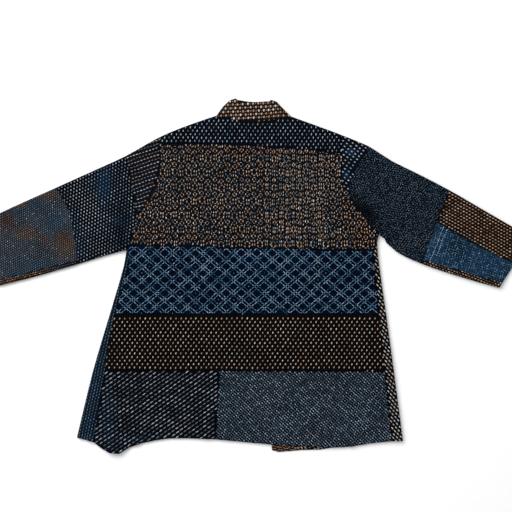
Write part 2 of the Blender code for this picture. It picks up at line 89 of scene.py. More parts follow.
@dataclass(frozen=True)
class Studio:
    """Pale floor, soft light and the camera straight above."""

    lens: float = 85.0
    sensor: float = 36.0
    floor_side: float = 12.0
    sky: float = 0.62
    key_power: float = 95.0
    key_size: float = 2.4
    key_place: tuple[float, float, float] = (-1.4, 1.4, 2.3)

    def build(self) -> None:
        """Make the camera, the floor and the lights."""
        self.add_camera()
        self.add_floor()
        self.add_lights()

    def add_camera(self) -> None:
        """Hang the camera over the middle of the picture."""
        data = bpy.data.cameras.new("camera")
        data.lens = self.lens
        data.sensor_width = self.sensor
        camera = bpy.data.objects.new("camera", data)
        x, y = PHOTO.place(*PHOTO.centre)
        camera.location = (x, y, PHOTO.width * PHOTO.pixel * self.lens / self.sensor)
        bpy.context.scene.collection.objects.link(camera)
        bpy.context.scene.camera = camera

    def add_floor(self) -> None:
        """Lay a plain pale floor just under the cloth."""
        half = self.floor_side / 2
        mesh = bpy.data.meshes.new("floor")
        corners = [(-half, -half, 0), (half, -half, 0), (half, half, 0), (-half, half, 0)]
        mesh.from_pydata(corners, [], [(0, 1, 2, 3)])
        floor = bpy.data.objects.new("floor", mesh)
        floor.location = (0, 0, -0.3 * MM)
        bpy.context.scene.collection.objects.link(floor)
        material = bpy.data.materials.new("pale_floor")
        material.use_nodes = True
        shader = material.node_tree.nodes["Principled BSDF"]
        shader.inputs["Base Color"].default_value = (0.93, 0.93, 0.93, 1)
        shader.inputs["Roughness"].default_value = 0.9
        mesh.materials.append(material)

    def add_lights(self) -> None:
        """Light the room evenly, with one soft lamp from the upper left."""
        scene = bpy.context.scene
        world = bpy.data.worlds.new("room")
        world.use_nodes = True
        world.node_tree.nodes["Background"].inputs["Strength"].default_value = self.sky
        world.node_tree.nodes["Background"].inputs["Color"].default_value = (1, 1, 1, 1)
        scene.world = world
        scene.view_settings.view_transform = "Standard"
        light = bpy.data.lights.new("soft_lamp", "AREA")
        light.energy = self.key_power
        light.size = self.key_size
        lamp = bpy.data.objects.new("soft_lamp", light)
        lamp.location = self.key_place
        lamp.rotation_euler = (-Vector(self.key_place)).to_track_quat("-Z", "Y").to_euler()
        scene.collection.objects.link(lamp)


@dataclass(frozen=True)
class Zone:
    """A patch of cloth, round or oval, that is dyed or rubbed another colour, or darkened as painted
    shade in a fold.
    """

    pixel: tuple[float, float]
    radii: tuple[float, float]
    colour: Colour
    strength: float
    turn: float = 0.0

    def share(self, x: float, y: float) -> float:
        """Return how much of this zone's colour shows at a point of the table top."""
        cx, cy = PHOTO.place(*self.pixel)
        angle = math.radians(self.turn)
        dx, dy = x - cx, y - cy
        u = (dx * math.cos(angle) + dy * math.sin(angle)) / (self.radii[0] * PHOTO.pixel)
        v = (dy * math.cos(angle) - dx * math.sin(angle)) / (self.radii[1] * PHOTO.pixel)
        away = u * u + v * v
        return self.strength * math.exp(-away * 1.4)


@dataclass(frozen=True)
class Cotton:
    """A dyed cotton: its slot, its ground colour, how unevenly it is dyed, and its zones, a few of
    them painted shade.
    """

    slot: str
    ground: Colour
    mottle: float = 0.22
    zones: tuple[Zone, ...] = ()
    weave_pitch: float = 1.15
    weave_depth: float = 0.35

    def dye(self, x: float, y: float) -> Colour:
        """Return the colour of the cloth at a point of the table top: the dyed ground and its zones,
        a few of them painted shade.
        """
        broad = noise.noise((x * 14, y * 14, 3.1))
        close = noise.noise((x * 60, y * 60, 8.4))
        shade = 1 + self.mottle * (broad + 0.6 * close)
        colour = [channel * shade for channel in self.ground]
        for zone in self.zones:
            share = min(zone.share(x, y), 1.0)
            colour = [c * (1 - share) + z * share for c, z in zip(colour, zone.colour)]
        return (colour[0], colour[1], colour[2])


@dataclass(frozen=True)
class Thread:
    """A sewing thread: its colours with their shares, and how much single stitches vary."""

    colours: tuple[tuple[Colour, float], ...]
    spread: float = 0.28
    zones: tuple[Zone, ...] = ()

    def pick(self, draw: random.Random, x: float, y: float) -> Colour:
        """Choose the colour of one stitch.

        Args:
            draw: the seeded source of chance.
            x: place across the table top.
            y: place up the table top.

        Returns:
            The stitch's colour.
        """
        colour = draw.choices([c for c, _ in self.colours], [w for _, w in self.colours])[0]
        shade = 1 + self.spread * draw.uniform(-1, 1) + 0.25 * noise.noise((x * 30, y * 30, 0.7))
        mixed = list(colour)
        for zone in self.zones:
            share = min(zone.share(x, y), 1.0)
            mixed = [c * (1 - share) + z * share for c, z in zip(mixed, zone.colour)]
        return (mixed[0] * shade, mixed[1] * shade, mixed[2] * shade)


@dataclass
class Stitch:
    """One stitch on the table top, before it is laid on the cloth."""

    x: float
    y: float
    angle: float
    length: float
    width: float


def wander(x: float, y: float, reach: float) -> tuple[float, float]:
    """Shift a charted point a little, as hand-sewn rows wander."""
    return (x + reach * noise.noise((x * 22, y * 22, 11.0)),
            y + reach * noise.noise((x * 22, y * 22, 17.0)))


@dataclass(frozen=True)
class Rows:
    """Running stitches in parallel rows. Lengths are in millimetres and angles in degrees."""

    pitch: float
    row: float
    angle: float
    length: float
    width: float
    lean: float = 0.0
    stagger: float = 0.5
    loose: float = 0.25
    phase: float = 0.0
    side: float = 0.0

    def stitches(self, low: Vector, high: Vector, draw: random.Random) -> Iterator[Stitch]:
        """Yield the stitches of the rows over a box.

        Args:
            low: the box's lowest corner.
            high: its highest corner.
            draw: the seeded source of chance.

        Yields:
            Each stitch, in metres.
        """
        middle = (low + high) / 2
        reach = (high - low).length / 2
        angle = math.radians(self.angle)
        along = Vector((math.cos(angle), math.sin(angle)))
        across = Vector((-along.y, along.x))
        rows = int(reach / (self.row * MM)) + 1
        steps = int(reach / (self.pitch * MM)) + 1
        for row in range(-rows, rows + 1):
            offset = self.phase + self.stagger * (row % 2)
            for step in range(-steps, steps + 1):
                shift = (step + offset + draw.uniform(-1, 1) * 0.1 * self.loose) * self.pitch * MM
                uneven = draw.uniform(-1, 1) * 0.12 * self.loose
                side = (row + self.side + uneven) * self.row * MM
                spot = middle.to_2d() + along * shift + across * side
                x, y = wander(spot.x, spot.y, 1.6 * MM)
                turn = angle + math.radians(self.lean + draw.uniform(-1, 1) * 12 * self.loose)
                stretch = 1 + self.loose * 0.5 * draw.uniform(-1, 1)
                yield Stitch(x, y, turn, self.length * stretch * MM, self.width * MM)


@dataclass(frozen=True)
class Persimmon:
    """Persimmon flowers: rows of small rings in turn with rows of ovals and paired strokes."""

    across: float = 14.4
    down: float = 15.6
    zigzag: float = 3.2
    upright_width: float = 2.2
    level_width: float = 1.4
    slim_from: float = 262.0
    slim_to: float = 322.0
    # Each stroke is its place from the middle, its slope in degrees and its length.
    ring: tuple[Stroke, ...] = ((-3.7, 0, 90, 5.4), (3.7, 0, 90, 5.4), (0, 3.9, 0, 4.4),
                                (0, -3.9, 0, 4.4))
    oval: tuple[Stroke, ...] = ((-4.7, 3.5, 72, 5.4), (-4.7, -3.5, 108, 5.4),
                                (4.7, 3.5, 108, 5.4), (4.7, -3.5, 72, 5.4), (0, 7.4, 0, 4.6),
                                (0, -7.4, 0, 4.6))
    pair: tuple[Stroke, ...] = ((-2.6, 3.8, 90, 5.4), (2.6, 3.8, 90, 5.4),
                                (-2.6, -3.8, 90, 5.4), (2.6, -3.8, 90, 5.4))

    def stitches(self, low: Vector, high: Vector, draw: random.Random) -> Iterator[Stitch]:
        """Yield the strokes of the rings, the ovals and the pairs over a box.

        Args:
            low: the box's lowest corner.
            high: its highest corner.
            draw: the seeded source of chance.

        Yields:
            Each stitch, in metres.
        """
        across, down = self.across * MM, self.down * MM
        slim = [PHOTO.place(column, 0)[0] for column in (self.slim_from, self.slim_to)]
        for j in range(int((high.y - low.y) / down) + 2):
            for i in range(int((high.x - low.x) / across) + 2):
                x = low.x + (i + draw.uniform(-0.05, 0.05)) * across
                y = high.y - (j + draw.uniform(-0.06, 0.06)) * down
                y += self.zigzag * MM * (1 if i % 2 else -1) / 2
                motif = self.ring if j % 2 else (self.oval if (i + j // 2) % 2 else self.pair)
                squeeze = 0.72 if slim[0] < x < slim[1] else 1.0
                for stroke in motif:
                    yield self.laid(x, y, stroke, squeeze, draw)
                for lift in (0.25, -0.25) if squeeze < 1 else (0.5,):
                    yield Stitch(x + across / 2, y + (lift + draw.uniform(-0.05, 0.05)) * down,
                                 math.radians(draw.uniform(80, 100)), 4.6 * MM,
                                 self.level_width * MM)

    def laid(self, x: float, y: float, stroke: Stroke, squeeze: float,
             draw: random.Random) -> Stitch:
        """Place one stroke of a motif with a hand's unevenness."""
        dx, dy, slope, length = stroke
        x, y = wander(x + dx * squeeze * MM, y + dy * MM, 2.4 * MM)
        level = slope == 0
        stretch = squeeze if level else 1 / squeeze ** 0.5
        return Stitch(x + draw.uniform(-0.4, 0.4) * MM, y + draw.uniform(-0.4, 0.4) * MM,
                      math.radians(slope + draw.uniform(-11, 11)),
                      length * stretch * draw.uniform(0.82, 1.1) * MM,
                      (self.level_width if level else self.upright_width)
                      * draw.uniform(0.85, 1.12) * MM)


@dataclass(frozen=True)
class Lattice:
    """Pairs of slanting rows that cross and leave dark diamonds between them."""

    angle: float = 41.0
    period: float = 22.1
    channel: float = 6.4
    side_length: float = 7.9
    bridge_length: float = 6.0
    width: float = 1.35
    dot_share: float = 0.3

    def stitches(self, low: Vector, high: Vector, draw: random.Random) -> Iterator[Stitch]:
        """Yield the stitches of both slants over a box.

        Args:
            low: the box's lowest corner.
            high: its highest corner.
            draw: the seeded source of chance.

        Yields:
            Each stitch, in metres.
        """
        middle = ((low + high) / 2).to_2d()
        angle = math.radians(self.angle)
        rising = Vector((math.cos(angle), math.sin(angle)))
        falling = Vector((math.cos(angle), -math.sin(angle)))
        scale = MM / math.sin(2 * angle)
        reach = int((high - low).length / (2 * self.period * scale)) + 1
        side = self.period - self.channel
        spots = ((self.channel + side * 0.27, self.side_length), (self.channel + side * 0.75,
                 self.side_length), (self.channel / 2, self.bridge_length))
        for i in range(-reach, reach + 1):
            for j in range(-reach, reach + 1):
                corner = middle + (rising * i + falling * j) * self.period * scale
                for along, across in ((rising, falling), (falling, rising)):
                    for edge in (0.0, self.channel):
                        for spot, length in spots:
                            place = corner + (along * spot + across * edge) * scale
                            yield self.laid(place, math.atan2(along.y, along.x), length, draw)
                if draw.random() < self.dot_share:
                    centre = self.channel + side / 2
                    place = corner + (rising + falling) * centre * scale
                    yield self.laid(place, 0.0, self.width * 1.5, draw)

    def laid(self, place: Vector, angle: float, length: float, draw: random.Random) -> Stitch:
        """Place one stitch with a hand's unevenness."""
        x, y = wander(place.x, place.y, 1.5 * MM)
        return Stitch(x, y, angle + math.radians(draw.uniform(-3, 3)),
                      length * draw.uniform(0.85, 1.08) * MM, self.width * MM)


Chart = Rows | Persimmon | Lattice


@dataclass(frozen=True)
class Sewing:
    """One charted pattern with its thread, and the part of the piece that it covers."""

    chart: Chart
    thread: Thread
    keep: Callable[[float, float], bool] | None = None


@dataclass(frozen=True)
class Crease:
    """A soft ridge or trough of the upper layer, given by two pixels of the picture."""

    start: tuple[float, float]
    end: tuple[float, float]
    half_width: float
    height: float
    end_height: float

    def lift(self, x: float, y: float) -> float:
        """Return the height that this crease adds at a point of the table top."""
        first = Vector(PHOTO.place(*self.start))
        step = Vector(PHOTO.place(*self.end)) - first
        point = Vector((x, y)) - first
        along = max(0.0, min(1.0, point.dot(step) / step.length_squared))
        away = (point - step * along).length / (self.half_width * MM)
        if away >= 1:
            return 0.0
        crest = self.height + (self.end_height - self.height) * along
        return crest * MM * (1 - away * away) ** 2


CREASE_SCALE = 1.3

CREASES = (
    Crease((352, 196), (377, 222), 13, 3.2, 4.2),
    Crease((347, 206), (364, 226), 9, 1.8, 0.8),
    Crease((122, 208), (132, 250), 14, 3.0, 1.4),
    Crease((104, 214), (122, 246), 12, 1.8, 2.4),
    Crease((112, 452), (116, 392), 20, 4.0, 0.0),
    Crease((138, 444), (134, 404), 13, 2.4, 0.0),
    Crease((90, 440), (97, 380), 10, 2.0, 0.0),
    Crease((286, 446), (282, 384), 16, 2.2, 0.0),
    Crease((352, 446), (346, 402), 14, 1.8, 0.0),
    Crease((206, 440), (210, 398), 16, 1.6, 0.0),
    Crease((57, 190), (84, 250), 9, 1.2, 1.6),
    Crease((20, 222), (48, 268), 15, 1.6, 0.6),
    Crease((72, 196), (96, 232), 16, 1.4, 0.8),
    Crease((400, 186), (418, 244), 18, 1.6, 2.0),
    Crease((452, 200), (470, 258), 13, 1.4, 1.0),
    Crease((366, 152), (352, 178), 10, 2.0, 0.6),
    Crease((214, 118), (206, 132), 8, 1.4, 0.4),
    Crease((292, 120), (300, 134), 8, 1.4, 0.4),
    Crease((160, 160), (176, 232), 16, 1.0, 0.4),
    Crease((250, 260), (256, 360), 20, 0.8, 0.6),
    Crease((330, 250), (338, 366), 18, 1.0, 0.5),
)


def relief(x: float, y: float) -> float:
    """Return how far the upper layer stands over its solid at a point of the table top."""
    broad = 1.2 * (1 + noise.noise((x * 9, y * 9, 1.7)))
    close = 0.75 * (1 + noise.noise((x * 26, y * 26, 5.1)))
    fine = 0.35 * (1 + noise.noise((x * 85, y * 85, 9.3)))
    folds = CREASE_SCALE * sum(crease.lift(x, y) for crease in CREASES)
    return (broad + close + fine) * MM + folds


@dataclass(frozen=True)
class ShellMaker:
    """Turns the plain solid of a cloth piece into a fine, softly creased shell."""

    target: float = 5.0 * MM
    passes: int = 8
    rim_angle: float = math.radians(50)
    seam_depth: float = 0.9 * MM
    seam_width: float = 4.0 * MM

    def make(self, node: bpy.types.Object, name: str, cotton: Cotton) -> bpy.types.Object:
        """Make the shell of one piece.

        Args:
            node: the solid's object, which stays as it is.
            name: the name of the new piece.
            cotton: the finish, for the colour of each point.

        Returns:
            The new piece, at the origin.
        """
        mesh = bmesh.new()
        mesh.from_mesh(node.data)
        bmesh.ops.remove_doubles(mesh, verts=mesh.verts, dist=0.001 * MM)
        self.refine(mesh)
        self.settle(mesh)
        data = bpy.data.meshes.new(name)
        mesh.to_mesh(data)
        mesh.free()
        self.colour(data, cotton)
        data.shade_smooth()
        data.set_sharp_from_angle(angle=self.rim_angle)
        shell = bpy.data.objects.new(name, data)
        bpy.context.scene.collection.objects.link(shell)
        return shell

    def upper_faces(self, mesh: bmesh.types.BMesh) -> list[bmesh.types.BMFace]:
        """Return the faces that look up from the upper layer."""
        mesh.normal_update()
        return [face for face in mesh.faces
                if face.normal.z > 0.1 and face.calc_center_median().z > LAYER_TOP]

    def refine(self, mesh: bmesh.types.BMesh) -> None:
        """Split long edges of the upper layer until its triangles are small and even."""
        for _ in range(self.passes):
            faces = self.upper_faces(mesh)
            long_edges = dict.fromkeys(edge for face in faces for edge in face.edges
                                       if edge.calc_length() > self.target)
            if not long_edges:
                break
            bmesh.ops.subdivide_edges(mesh, edges=list(long_edges), cuts=1)
            bmesh.ops.triangulate(mesh, faces=mesh.faces[:])
            self.even_out(mesh)

    def even_out(self, mesh: bmesh.types.BMesh) -> None:
        """Turn edges of the nearly flat stretches so that their triangles are well shaped."""
        faces = self.upper_faces(mesh)
        chosen = set(faces)
        edges = [edge for edge in dict.fromkeys(e for face in faces for e in face.edges)
                 if len(edge.link_faces) == 2 and all(f in chosen for f in edge.link_faces)
                 and edge.calc_face_angle(math.pi) < math.radians(6)]
        bmesh.ops.beautify_fill(mesh, faces=faces, edges=edges, method="ANGLE")

    def settle(self, mesh: bmesh.types.BMesh) -> None:
        """Raise the upper layer by the creases and sink it a little at its seams."""
        faces = self.upper_faces(mesh)
        chosen = set(faces)
        rims = dict.fromkeys(vert for face in faces for edge in face.edges for vert in edge.verts
                             if len(edge.link_faces) == 2
                             and not all(f in chosen for f in edge.link_faces)
                             and edge.calc_face_angle(0.0) > self.rim_angle)
        tree = KDTree(max(len(rims), 1))
        for index, vert in enumerate(rims):
            tree.insert(vert.co, index)
        tree.balance()
        moves = {}
        for vert in {v for face in faces for v in face.verts}:
            share = min(max((vert.co.z - LAYER_TOP) / (2.4 * MM), 0.0), 1.0)
            away = tree.find(vert.co)[2] if rims else 1.0
            ditch = self.seam_depth * math.exp(-(away / self.seam_width) ** 2)
            moves[vert] = share * (relief(vert.co.x, vert.co.y) - ditch)
        for vert, move in moves.items():
            vert.co.z += move

    def colour(self, data: bpy.types.Mesh, cotton: Cotton) -> None:
        """Store the cloth's colour, painted shade included where a zone gives it, and a mark for the
        underside on each point.
        """
        colours, marks = [], []
        for vert in data.vertices:
            colours.extend((*cotton.dye(vert.co.x, vert.co.y), 1.0))
            marks.append(1.0 if vert.co.z < LAYER_TOP else 0.0)
        data.color_attributes.new("dye", "FLOAT_COLOR", "POINT")
        data.attributes.new("under", "FLOAT", "POINT")
        data.attributes["dye"].data.foreach_set("color", colours)
        data.attributes["under"].data.foreach_set("value", marks)


def link(tree: bpy.types.NodeTree, source: bpy.types.NodeSocket,
         target: bpy.types.NodeSocket) -> None:
    """Join two sockets of a node tree."""
    tree.links.new(source, target)


def new_group(name: str, inputs: Sequence[tuple[str, str, float]],
              outputs: Sequence[tuple[str, str]]) -> bpy.types.NodeTree:
    """Make an empty shader node group.

    Args:
        name: the group's name.
        inputs: name, socket type and default of each input.
        outputs: name and socket type of each output.

    Returns:
        The group, with its input and output nodes in place.
    """
    tree = bpy.data.node_groups.new(name, "ShaderNodeTree")
    for label, kind, default in inputs:
        socket = tree.interface.new_socket(label, in_out="INPUT", socket_type=kind)
        if kind == "NodeSocketFloat":
            socket.default_value = default
    for label, kind in outputs:
        tree.interface.new_socket(label, in_out="OUTPUT", socket_type=kind)
    tree.nodes.new("NodeGroupInput").name = "in"
    tree.nodes.new("NodeGroupOutput").name = "out"
    return tree


def math_node(tree: bpy.types.NodeTree, operation: str, *values: object) -> bpy.types.NodeSocket:
    """Add a Math node whose inputs are sockets or numbers, and return its result."""
    node = tree.nodes.new("ShaderNodeMath")
    node.operation = operation
    for index, value in enumerate(values):
        if isinstance(value, bpy.types.NodeSocket):
            link(tree, value, node.inputs[index])
        else:
            node.inputs[index].default_value = value
    return node.outputs[0]


def weave_group() -> bpy.types.NodeTree:
    """Build the plain weave: threads over and under each other, with slubs."""
    tree = new_group("plain_weave", (("Pitch", "NodeSocketFloat", 0.00115),),
                     (("Height", "NodeSocketFloat"), ("Tone", "NodeSocketFloat")))
    source, out = tree.nodes["in"], tree.nodes["out"]
    place = tree.nodes.new("ShaderNodeTexCoord").outputs["Object"]
    split = tree.nodes.new("ShaderNodeSeparateXYZ")
    link(tree, place, split.inputs[0])
    slub = tree.nodes.new("ShaderNodeTexNoise")
    slub.inputs["Scale"].default_value = 420
    slub.inputs["Detail"].default_value = 2
    link(tree, place, slub.inputs["Vector"])
    step = math_node(tree, "DIVIDE", math.pi, source.outputs["Pitch"])
    wobble = math_node(tree, "MULTIPLY", slub.outputs["Fac"], 0.9)
    u = math_node(tree, "ADD", math_node(tree, "MULTIPLY", split.outputs["X"], step), wobble)
    v = math_node(tree, "ADD", math_node(tree, "MULTIPLY", split.outputs["Y"], step), wobble)
    warp = math_node(tree, "SINE", u)
    weft = math_node(tree, "SINE", v)
    over = math_node(tree, "MULTIPLY", warp, weft)
    height = math_node(tree, "MULTIPLY_ADD", over, 0.35, slub.outputs["Fac"])
    link(tree, height, out.inputs["Height"])
    tone = math_node(tree, "MULTIPLY_ADD", over, 0.12, 1.0)
    speck = math_node(tree, "MULTIPLY_ADD", slub.outputs["Fac"], 0.5, -0.25)
    link(tree, math_node(tree, "ADD", tone, speck), out.inputs["Tone"])
    return tree


def running_group() -> bpy.types.NodeTree:
    """Build flat rows of running stitches, for the side that lies on the surface."""
    tree = new_group("running_stitch",
                     (("Pitch", "NodeSocketFloat", 0.009), ("Row", "NodeSocketFloat", 0.007),
                      ("Slope", "NodeSocketFloat", 0.3)),
                     (("Mask", "NodeSocketFloat"),))
    source, out = tree.nodes["in"], tree.nodes["out"]
    split = tree.nodes.new("ShaderNodeSeparateXYZ")
    link(tree, tree.nodes.new("ShaderNodeTexCoord").outputs["Object"], split.inputs[0])
    lean = math_node(tree, "MULTIPLY", split.outputs["X"], source.outputs["Slope"])
    level = math_node(tree, "SUBTRACT", split.outputs["Y"], lean)
    rows = math_node(tree, "DIVIDE", level, source.outputs["Row"])
    row = math_node(tree, "FLOOR", rows)
    half = math_node(tree, "MULTIPLY", math_node(tree, "FLOORED_MODULO", row, 2.0), 0.5)
    steps = math_node(tree, "ADD",
                      math_node(tree, "DIVIDE", split.outputs["X"], source.outputs["Pitch"]), half)
    dash = math_node(tree, "ABSOLUTE",
                     math_node(tree, "SUBTRACT", math_node(tree, "FRACT", steps), 0.5))
    line = math_node(tree, "ABSOLUTE",
                     math_node(tree, "SUBTRACT", math_node(tree, "FRACT", rows), 0.5))
    inside_dash = math_node(tree, "LESS_THAN", dash, 0.27)
    inside_line = math_node(tree, "LESS_THAN", line, 0.13)
    link(tree, math_node(tree, "MULTIPLY", inside_dash, inside_line), out.inputs["Mask"])
    return tree


@dataclass
class Dyer:
    """Makes the materials of the cloth and the thread."""

    weave: bpy.types.NodeTree
    running: bpy.types.NodeTree
    threads: dict[str, bpy.types.Material] = field(default_factory=dict)

    def cloth(self, cotton: Cotton, thread: Colour) -> bpy.types.Material:
        """Make one woven, dyed cotton, with flat stitches on its hidden side.

        Args:
            cotton: the finish.
            thread: the colour of the stitches on the hidden side.

        Returns:
            The material.
        """
        material = bpy.data.materials.new(cotton.slot)
        material.use_nodes = True
        tree = material.node_tree
        shader = tree.nodes["Principled BSDF"]
        shader.inputs["Roughness"].default_value = 0.88
        shader.inputs["Sheen Weight"].default_value = 0.004
        shader.inputs["Sheen Roughness"].default_value = 0.6
        shader.inputs["Specular IOR Level"].default_value = 0.02
        weave = tree.nodes.new("ShaderNodeGroup")
        weave.node_tree = self.weave
        weave.inputs["Pitch"].default_value = cotton.weave_pitch * MM
        dye = tree.nodes.new("ShaderNodeAttribute")
        dye.attribute_name = "dye"
        toned = tree.nodes.new("ShaderNodeVectorMath")
        toned.operation = "SCALE"
        link(tree, dye.outputs["Color"], toned.inputs[0])
        link(tree, weave.outputs["Tone"], toned.inputs["Scale"])
        running = tree.nodes.new("ShaderNodeGroup")
        running.node_tree = self.running
        under = tree.nodes.new("ShaderNodeAttribute")
        under.attribute_name = "under"
        hidden = math_node(tree, "MULTIPLY", running.outputs["Mask"], under.outputs["Fac"])
        mix = tree.nodes.new("ShaderNodeMix")
        mix.data_type = "RGBA"
        link(tree, hidden, mix.inputs["Factor"])
        link(tree, toned.outputs[0], mix.inputs["A"])
        mix.inputs["B"].default_value = (*thread, 1)
        link(tree, mix.outputs["Result"], shader.inputs["Base Color"])
        bump = tree.nodes.new("ShaderNodeBump")
        bump.inputs["Strength"].default_value = cotton.weave_depth
        bump.inputs["Distance"].default_value = 0.4 * MM
        link(tree, math_node(tree, "MULTIPLY_ADD", hidden, 1.4, weave.outputs["Height"]),
             bump.inputs["Height"])
        link(tree, bump.outputs["Normal"], shader.inputs["Normal"])
        return material

    def thread(self) -> bpy.types.Material:
        """Make the cotton thread, which takes its colour from each stitch."""
        if "thread" in self.threads:
            return self.threads["thread"]
        material = bpy.data.materials.new("sashiko_thread")
        material.use_nodes = True
        tree = material.node_tree
        shader = tree.nodes["Principled BSDF"]
        shader.inputs["Roughness"].default_value = 0.75
        shader.inputs["Sheen Weight"].default_value = 0.03
        shader.inputs["Specular IOR Level"].default_value = 0.15
        tint = tree.nodes.new("ShaderNodeAttribute")
        tint.attribute_name = "thread"
        twist = tree.nodes.new("ShaderNodeTexNoise")
        twist.inputs["Scale"].default_value = 1500
        twist.inputs["Detail"].default_value = 2
        link(tree, tree.nodes.new("ShaderNodeTexCoord").outputs["Object"], twist.inputs["Vector"])
        tone = math_node(tree, "MULTIPLY_ADD", twist.outputs["Fac"], 0.7, 0.65)
        toned = tree.nodes.new("ShaderNodeVectorMath")
        toned.operation = "SCALE"
        link(tree, tint.outputs["Color"], toned.inputs[0])
        link(tree, tone, toned.inputs["Scale"])
        link(tree, toned.outputs[0], shader.inputs["Base Color"])
        bump = tree.nodes.new("ShaderNodeBump")
        bump.inputs["Strength"].default_value = 0.4
        bump.inputs["Distance"].default_value = 0.3 * MM
        link(tree, twist.outputs["Fac"], bump.inputs["Height"])
        link(tree, bump.outputs["Normal"], shader.inputs["Normal"])
        self.threads["thread"] = material
        return material


@dataclass
class StitchLayer:
    """Lays charted stitches on the finished shells."""

    trees: BVHTree
    owners: list[str]
    nodes: bpy.types.NodeTree
    material: bpy.types.Material
    flatness: float = 0.62
    sink: float = 0.18
    least_slope: float = 0.3

    def hit(self, x: float, y: float) -> tuple[Vector, Vector, str] | None:
        """Return the point, normal and piece that lie uppermost at a place."""
        point, normal, index, _ = self.trees.ray_cast(Vector((x, y, 0.2)), Vector((0, 0, -1)))
        if point is None:
            return None
        return point, normal, self.owners[index]

    def sew(self, piece: str, sewings: Sequence[Sewing], low: Vector,
            high: Vector) -> bpy.types.Object | None:
        """Sew every pattern of one piece as one mesh of threads.

        Args:
            piece: the shell's name.
            sewings: the charted patterns.
            low: the lowest corner of the piece's box.
            high: the highest corner.

        Returns:
            The mesh object, or None where no stitch fits.
        """
        draw = random.Random(piece)
        points, aims, lifts, sizes, tints = [], [], [], [], []
        for sewing in sewings:
            for stitch in sewing.chart.stitches(low, high, draw):
                if sewing.keep and not sewing.keep(stitch.x, stitch.y):
                    continue
                found = self.seat(piece, stitch)
                if found is None:
                    continue
                middle, aim, lift = found
                height = stitch.width * self.flatness
                points.append(middle + lift * height * (0.5 - self.sink))
                aims.append(aim)
                lifts.append(lift)
                sizes.append((stitch.length / 2, stitch.width / 2, height / 2))
                tints.append((*sewing.thread.pick(draw, stitch.x, stitch.y), 1.0))
        if not points:
            return None
        return self.grow(piece + "_stitches", points, aims, lifts, sizes, tints)

    def seat(self, piece: str, stitch: Stitch) -> tuple[Vector, Vector, Vector] | None:
        """Return the middle, direction and normal of a stitch on its piece, or None."""
        middle = self.hit(stitch.x, stitch.y)
        if middle is None or middle[2] != piece or middle[1].z < self.least_slope:
            return None
        reach = Vector((math.cos(stitch.angle), math.sin(stitch.angle))) * stitch.length * 0.3
        first = self.hit(stitch.x - reach.x, stitch.y - reach.y)
        last = self.hit(stitch.x + reach.x, stitch.y + reach.y)
        if first is None or last is None or first[2] != piece or last[2] != piece:
            return None
        aim = (last[0] - first[0]).normalized()
        lift = (first[1] + middle[1] + last[1]).normalized()
        centre = (first[0] + last[0]) / 4 + middle[0] / 2
        return centre, aim, lift

    def grow(self, name: str, points: list[Vector], aims: list[Vector], lifts: list[Vector],
             sizes: list[tuple[float, float, float]],
             tints: list[tuple[float, float, float, float]]) -> bpy.types.Object:
        """Grow a thread on each point with the Geometry Nodes tree, and keep the plain mesh."""
        data = bpy.data.meshes.new(name + "_points")
        data.from_pydata(points, [], [])
        for label, rows in (("aim", aims), ("lift", lifts), ("reach", sizes)):
            layer = data.attributes.new(label, "FLOAT_VECTOR", "POINT")
            layer.data.foreach_set("vector", [value for row in rows for value in row])
        layer = data.attributes.new("thread", "FLOAT_COLOR", "POINT")
        layer.data.foreach_set("color", [value for row in tints for value in row])
        seed = bpy.data.objects.new(name + "_points", data)
        bpy.context.scene.collection.objects.link(seed)
        modifier = seed.modifiers.new("stitches", "NODES")
        modifier.node_group = self.nodes
        sockets = {item.name: item.identifier for item in self.nodes.interface.items_tree
                   if item.in_out == "INPUT"}
        modifier[sockets["Sides"]] = 4
        modifier[sockets["Rings"]] = 4
        modifier[sockets["Thread"]] = self.material
        graph = bpy.context.evaluated_depsgraph_get()
        mesh = bpy.data.meshes.new_from_object(seed.evaluated_get(graph))
        mesh.name = name
        stitches = bpy.data.objects.new(name, mesh)
        bpy.context.scene.collection.objects.link(stitches)
        bpy.data.objects.remove(seed, do_unlink=True)
        return stitches


